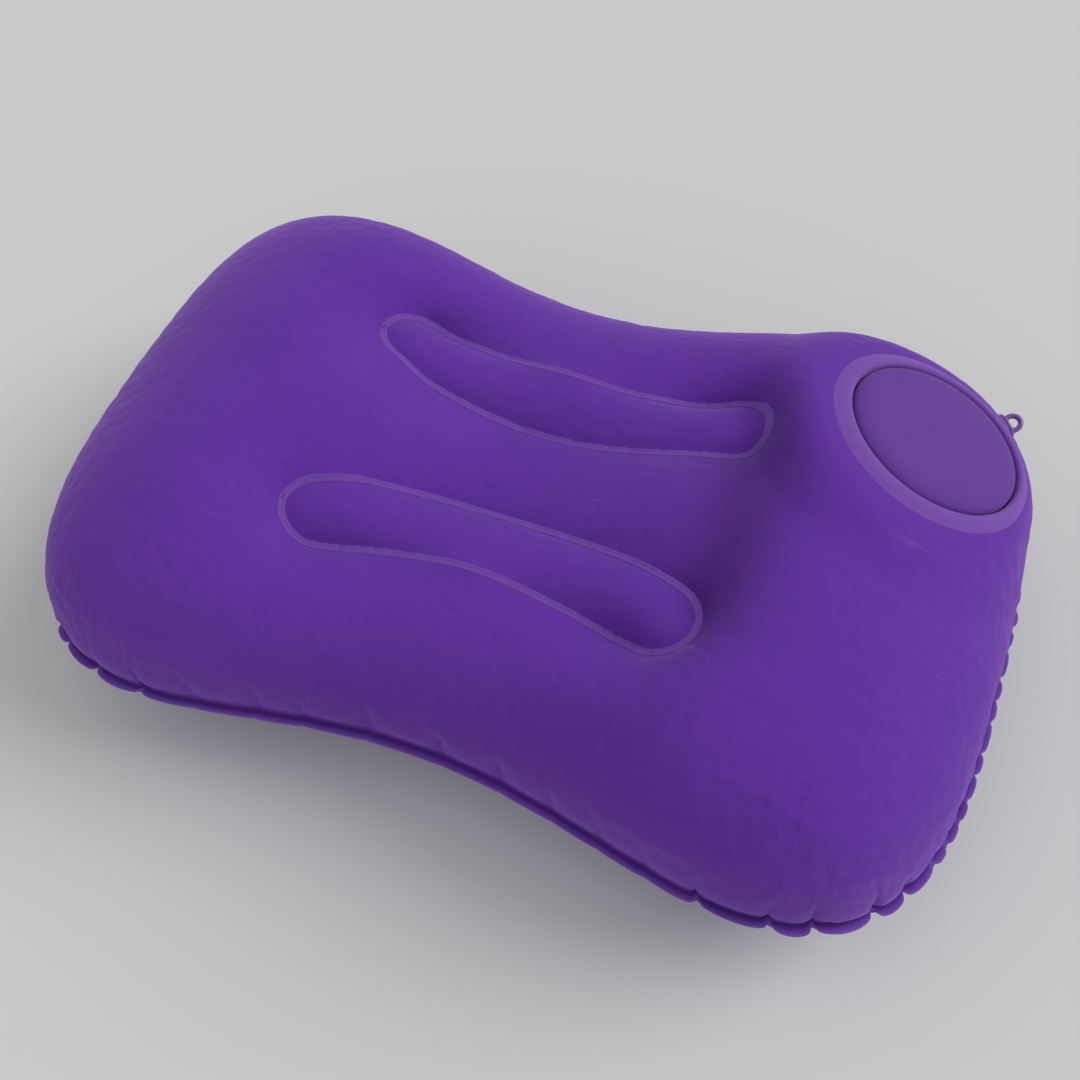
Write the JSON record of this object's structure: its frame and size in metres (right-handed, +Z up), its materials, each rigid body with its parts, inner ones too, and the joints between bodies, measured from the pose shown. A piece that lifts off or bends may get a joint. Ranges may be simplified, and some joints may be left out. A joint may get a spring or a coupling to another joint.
{
  "type": "inflatable travel pillow",
  "caption": "Inflatable flocked pillow with a waisted outline, a head rest between two looped baffle welds, a welded seam all round and a press pump in one corner.",
  "frame": {"origin": "middle of the outline in plan, on the surface that the pillow lies on", "axes": "+X along the long side towards the end with the pump, +Y towards the long side with the pump, +Z up"},
  "size_m": [0.43, 0.268, 0.1273],
  "materials": {
    "flock": "velvet flock on PVC sheet",
    "pump_flock": "fine flock, pressed smooth",
    "collar_pvc": "satin",
    "sheet_pvc": "satin",
    "valve_pvc": "glossy soft PVC",
    "clear_pvc": "glossy film",
    "foam": "open-cell foam"
  },
  "bodies": {
    "pillow": {"top_panel": "flock", "bottom_panel": "flock", "rear_baffle": "sheet_pvc", "front_baffle": "sheet_pvc", "pump_collar": "collar_pvc", "pump_cup": "sheet_pvc", "pump_foam": "foam", "outlet_seat": "clear_pvc", "valve_body": "valve_pvc", "valve_tether": "valve_pvc"},
    "pump_cover": {"pump_cover": "pump_flock", "intake_seat": "clear_pvc"},
    "intake_flap": {"intake_flap": "clear_pvc"},
    "outlet_flap": {"outlet_flap": "clear_pvc"},
    "valve_plug": {"valve_plug": "valve_pvc"}
  },
  "joints": [
    {"name": "pump_press", "type": "slide", "parent": "pillow", "child": "pump_cover", "axis": [-0.3398, -0.2398, -0.9094], "range_m": [0, 0.02], "stiffness_N_per_m": 1200, "deforming": ["pump_foam"]},
    {"name": "intake_flap_hinge", "type": "hinge", "parent": "pump_cover", "child": "intake_flap", "pos_m": [0.17532, 0.07864, 0.09724], "axis": [-0.9395, 0.0427, 0.3398], "range_deg": [0, 30], "stiffness_Nm_per_rad": 0.002},
    {"name": "outlet_flap_hinge", "type": "hinge", "parent": "pillow", "child": "outlet_flap", "pos_m": [0.14449, 0.04846, 0.07196], "axis": [-0.9395, 0.0427, 0.3398], "range_deg": [0, 35], "stiffness_Nm_per_rad": 0.002},
    {"name": "valve_plug_pull", "type": "slide", "parent": "pillow", "child": "valve_plug", "axis": [0.7205, 0.6532, 0.2328], "range_m": [0, 0.012], "deforming": ["valve_tether"]}
  ]
}
